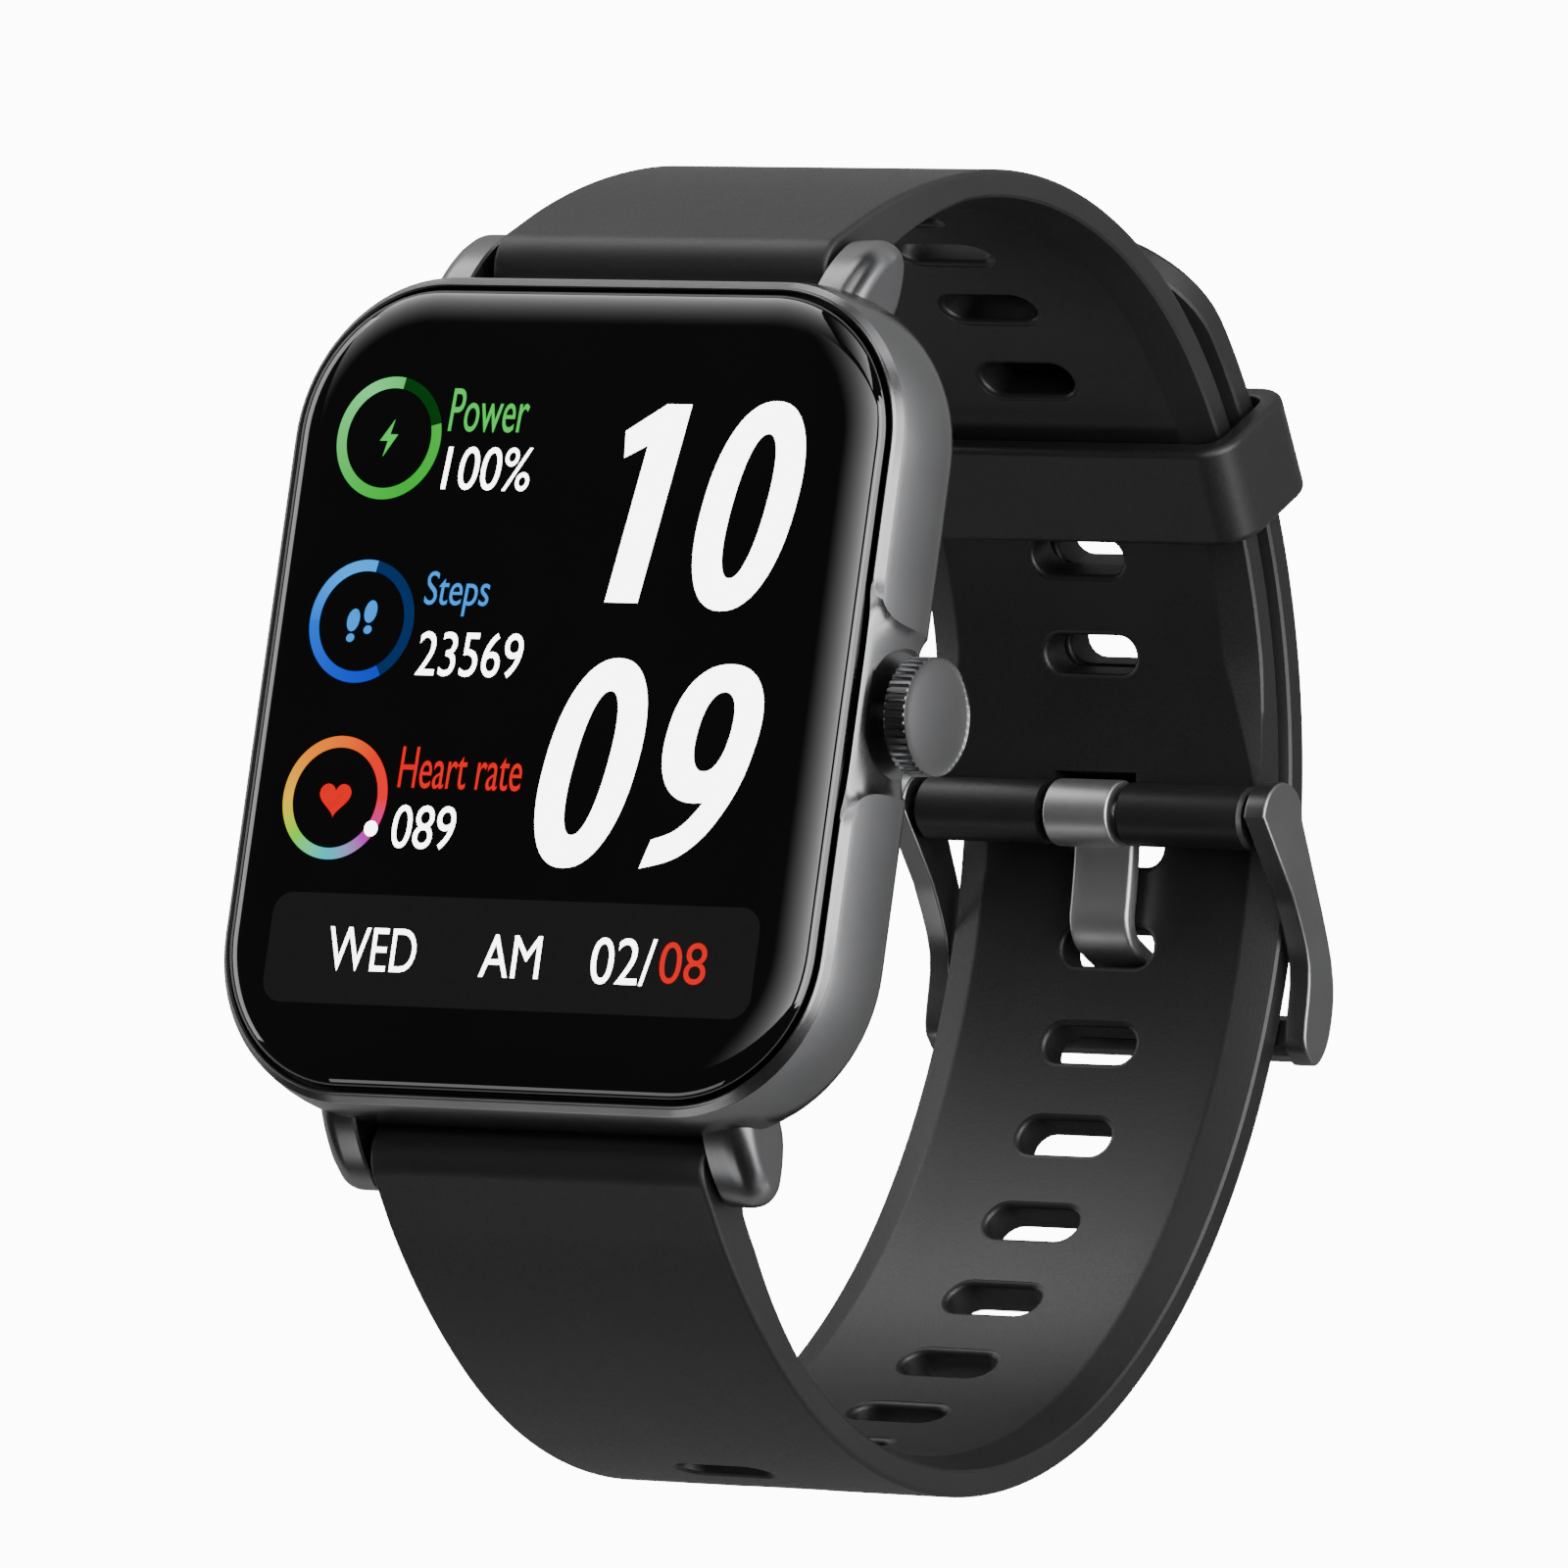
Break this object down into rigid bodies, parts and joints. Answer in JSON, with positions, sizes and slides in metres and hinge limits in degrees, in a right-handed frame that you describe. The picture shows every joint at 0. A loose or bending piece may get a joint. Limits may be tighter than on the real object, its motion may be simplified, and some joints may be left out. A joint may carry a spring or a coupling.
{
  "type": "smartwatch",
  "caption": "Rectangular smartwatch with a domed touch display, a knurled side crown and a slotted silicone strap closed by a pin buckle and keeper.",
  "frame": {"origin": "centre of the flat sensor window in the back, the face that rests on the wrist", "axes": "+Z out of the display, +Y towards the twelve o'clock lugs, +X towards the crown"},
  "size_m": [0.0389, 0.0668, 0.0576],
  "materials": {
    "case_metal": "satin gunmetal coating on a die-cast case",
    "buckle_metal": "satin gunmetal coating",
    "tongue_metal": "dark brushed",
    "steel": "plain",
    "brass": "turned",
    "contact_gold": "gold flash",
    "magnet": "nickel plated",
    "cover_glass": "polished, rounded edge, over a black display",
    "display": "black panel",
    "silicone": "moulded silicone, matt",
    "seal_rubber": "moulded",
    "cover_plastic": "fine spark-eroded",
    "window": "polished, dark tint",
    "board": "solder resist",
    "flex": "amber film",
    "cell": "pouch foil",
    "switch_plastic": "moulded",
    "led_lens": "clear green"
  },
  "bodies": {
    "case": {"mid_frame": "case_metal", "glass_cover": "cover_glass", "display_panel": "display", "display_flex": "flex", "mid_plate": "steel", "main_board": "board", "shield_can": "steel", "battery": "cell", "vibration_motor": "steel", "side_switch": "switch_plastic", "back_cover": "cover_plastic", "back_gasket": "seal_rubber", "sensor_window": "window", "sensor_board": "board", "green_led_left": "led_lens", "green_led_right": "led_lens", "photodiode": "window", "charge_pin_1": "contact_gold", "charge_pin_2": "contact_gold", "charge_magnet_1": "magnet", "charge_magnet_2": "magnet", "case_screw_1": "steel", "case_screw_2": "steel", "case_screw_3": "steel", "case_screw_4": "steel", "crown_bush": "brass", "upper_spring_bar": "steel", "upper_bar_coil": "steel", "lower_spring_bar": "steel", "lower_bar_coil": "steel"},
    "side_key": {"switch_plunger": "switch_plastic"},
    "crown": {"crown_cap": "case_metal", "crown_stem": "steel", "crown_o_ring": "seal_rubber", "crown_clip": "steel"},
    "upper_tip": {"upper_bar_tip": "steel"},
    "lower_tip": {"lower_bar_tip": "steel"},
    "short_band": {"strap_short": "silicone", "buckle_pin": "steel"},
    "long_band": {"strap_long": "silicone"},
    "keeper": {"keeper_loop": "silicone"},
    "frame": {"buckle_frame": "buckle_metal"},
    "tongue": {"buckle_tongue": "tongue_metal"}
  },
  "joints": [
    {"name": "crown_press", "type": "slide", "parent": "case", "child": "side_key", "axis": [-1, 0, 0], "range_m": [0, 0.00045], "stiffness_N_per_m": 3000},
    {"name": "crown_spin", "type": "hinge", "parent": "side_key", "child": "crown", "pos_m": [0.0187, 0, 0.0059], "axis": [1, 0, 0], "continuous": true},
    {"name": "upper_tip_slide", "type": "slide", "parent": "case", "child": "upper_tip", "axis": [-1, 0, 0], "range_m": [0, 0.0011], "stiffness_N_per_m": 600, "deforming": ["upper_bar_coil"]},
    {"name": "lower_tip_slide", "type": "slide", "parent": "case", "child": "lower_tip", "axis": [-1, 0, 0], "range_m": [0, 0.0011], "stiffness_N_per_m": 600, "deforming": ["lower_bar_coil"]},
    {"name": "strap_short_pivot", "type": "hinge", "parent": "case", "child": "short_band", "pos_m": [0, 0.02275, 0.00405], "axis": [1, 0, 0], "range_deg": [0, 45], "deforming": ["strap_short"]},
    {"name": "strap_long_pivot", "type": "hinge", "parent": "case", "child": "long_band", "pos_m": [0, -0.02275, 0.00405], "axis": [-1, 0, 0], "range_deg": [0, 45], "deforming": ["strap_long"]},
    {"name": "keeper_slide", "type": "hinge", "parent": "short_band", "child": "keeper", "pos_m": [0, -0.00173, -0.00664], "axis": [1, 0, 0], "range_deg": [-18, 3]},
    {"name": "buckle_frame_pivot", "type": "hinge", "parent": "short_band", "child": "frame", "pos_m": [0, 0.00405, -0.0399], "axis": [1, 0, 0], "range_deg": [0, 75]},
    {"name": "buckle_tongue_pivot", "type": "hinge", "parent": "short_band", "child": "tongue", "pos_m": [0, 0.00405, -0.0399], "axis": [-1, 0, 0], "range_deg": [0, 70]}
  ]
}
